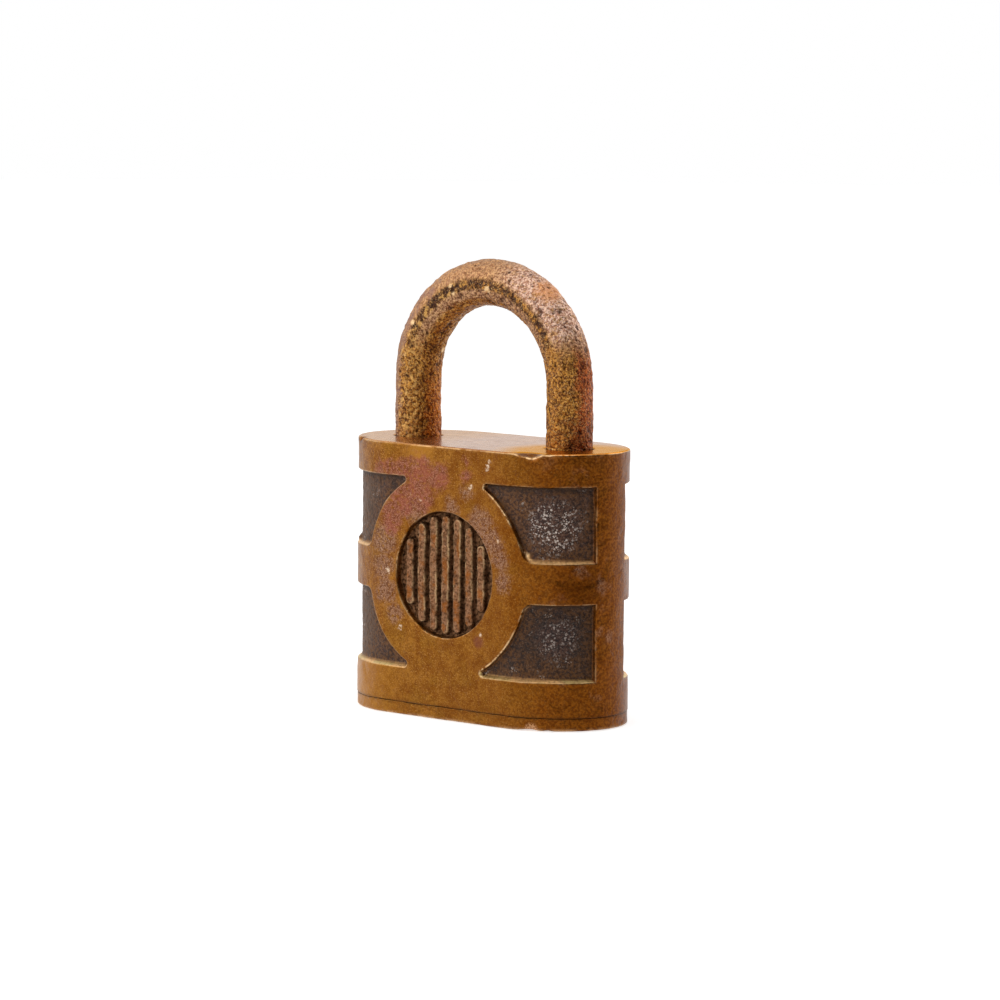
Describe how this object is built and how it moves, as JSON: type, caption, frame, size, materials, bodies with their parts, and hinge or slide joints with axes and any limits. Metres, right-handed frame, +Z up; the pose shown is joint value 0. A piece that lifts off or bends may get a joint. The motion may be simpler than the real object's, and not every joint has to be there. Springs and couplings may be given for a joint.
{
  "type": "padlock",
  "caption": "Heavy cast key padlock with round-ended body, banded faces, ribbed round medallions and a thick pitted shackle, worn and dented.",
  "frame": {"origin": "centre of the base plate's underside, on the plug's axis, where the closed padlock stands", "axes": "+Z up through the shackle, +X from the toe leg to the heel leg, the front medallion faces -Y"},
  "size_m": [0.0734, 0.0344, 0.106],
  "materials": {
    "cast_bronze": "cast and tarnished, bright on worn edges, dark in the sunk panels",
    "rivet_bronze": "ground flush and tarnished",
    "shackle_bronze": "coarsely pitted and speckled",
    "cylinder_brass": "machined, lightly tarnished",
    "pin_brass": "turned and bright",
    "screw_steel": "turned",
    "spring_steel": "drawn wire"
  },
  "bodies": {
    "case": {"case_body": "cast_bronze", "base_plate": "cast_bronze", "base_rivet_toe": "rivet_bronze", "base_rivet_heel": "rivet_bronze", "heel_pin": "rivet_bronze", "cylinder_housing": "cylinder_brass", "chamber_strip": "cylinder_brass", "spacer_block": "cylinder_brass", "pin_spring_1": "spring_steel", "pin_spring_2": "spring_steel", "pin_spring_3": "spring_steel", "pin_spring_4": "spring_steel", "pin_spring_5": "spring_steel"},
    "shackle": {"shackle": "shackle_bronze"},
    "plug": {"plug": "cylinder_brass", "tail_cam": "cylinder_brass", "cam_screw_1": "screw_steel", "cam_screw_2": "screw_steel"},
    "bolt": {"locking_bolt": "cylinder_brass"},
    "key_pin_1": {"key_pin_1": "pin_brass"},
    "key_pin_2": {"key_pin_2": "pin_brass"},
    "key_pin_3": {"key_pin_3": "pin_brass"},
    "key_pin_4": {"key_pin_4": "pin_brass"},
    "key_pin_5": {"key_pin_5": "pin_brass"},
    "driver_pin_1": {"driver_pin_1": "pin_brass"},
    "driver_pin_2": {"driver_pin_2": "pin_brass"},
    "driver_pin_3": {"driver_pin_3": "pin_brass"},
    "driver_pin_4": {"driver_pin_4": "pin_brass"},
    "driver_pin_5": {"driver_pin_5": "pin_brass"}
  },
  "joints": [
    {"name": "shackle_lift", "type": "slide", "parent": "case", "child": "shackle", "axis": [0, 0, 1], "range_m": [0, 0.0145]},
    {"name": "plug_turn", "type": "hinge", "parent": "case", "child": "plug", "pos_m": [0, 0, 0], "axis": [0, 0, 1], "range_deg": [-90, 0]},
    {"name": "bolt_slide", "type": "slide", "parent": "case", "child": "bolt", "axis": [1, 0, 0], "range_m": [-0.003, 0]},
    {"name": "key_pin_1_slide", "type": "slide", "parent": "plug", "child": "key_pin_1", "axis": [0, 1, 0], "range_m": [0, 0.002]},
    {"name": "key_pin_2_slide", "type": "slide", "parent": "plug", "child": "key_pin_2", "axis": [0, 1, 0], "range_m": [0, 0.0011]},
    {"name": "key_pin_3_slide", "type": "slide", "parent": "plug", "child": "key_pin_3", "axis": [0, 1, 0], "range_m": [0, 0.0017]},
    {"name": "key_pin_4_slide", "type": "slide", "parent": "plug", "child": "key_pin_4", "axis": [0, 1, 0], "range_m": [0, 0.0008]},
    {"name": "key_pin_5_slide", "type": "slide", "parent": "plug", "child": "key_pin_5", "axis": [0, 1, 0], "range_m": [0, 0.0014]},
    {"name": "driver_pin_1_slide", "type": "slide", "parent": "case", "child": "driver_pin_1", "axis": [-1, 0, 0], "range_m": [0, 0.0016], "stiffness_N_per_m": 100, "springref_m": -0.005, "deforming": ["pin_spring_1"]},
    {"name": "driver_pin_2_slide", "type": "slide", "parent": "case", "child": "driver_pin_2", "axis": [-1, 0, 0], "range_m": [0, 0.0016], "stiffness_N_per_m": 100, "springref_m": -0.005, "deforming": ["pin_spring_2"]},
    {"name": "driver_pin_3_slide", "type": "slide", "parent": "case", "child": "driver_pin_3", "axis": [-1, 0, 0], "range_m": [0, 0.0016], "stiffness_N_per_m": 100, "springref_m": -0.005, "deforming": ["pin_spring_3"]},
    {"name": "driver_pin_4_slide", "type": "slide", "parent": "case", "child": "driver_pin_4", "axis": [-1, 0, 0], "range_m": [0, 0.0016], "stiffness_N_per_m": 100, "springref_m": -0.005, "deforming": ["pin_spring_4"]},
    {"name": "driver_pin_5_slide", "type": "slide", "parent": "case", "child": "driver_pin_5", "axis": [-1, 0, 0], "range_m": [0, 0.0016], "stiffness_N_per_m": 100, "springref_m": -0.005, "deforming": ["pin_spring_5"]}
  ],
  "couplings": [
    {"joint": "bolt_slide", "follows": "plug_turn", "m_per_rad": 0.0019098}
  ]
}
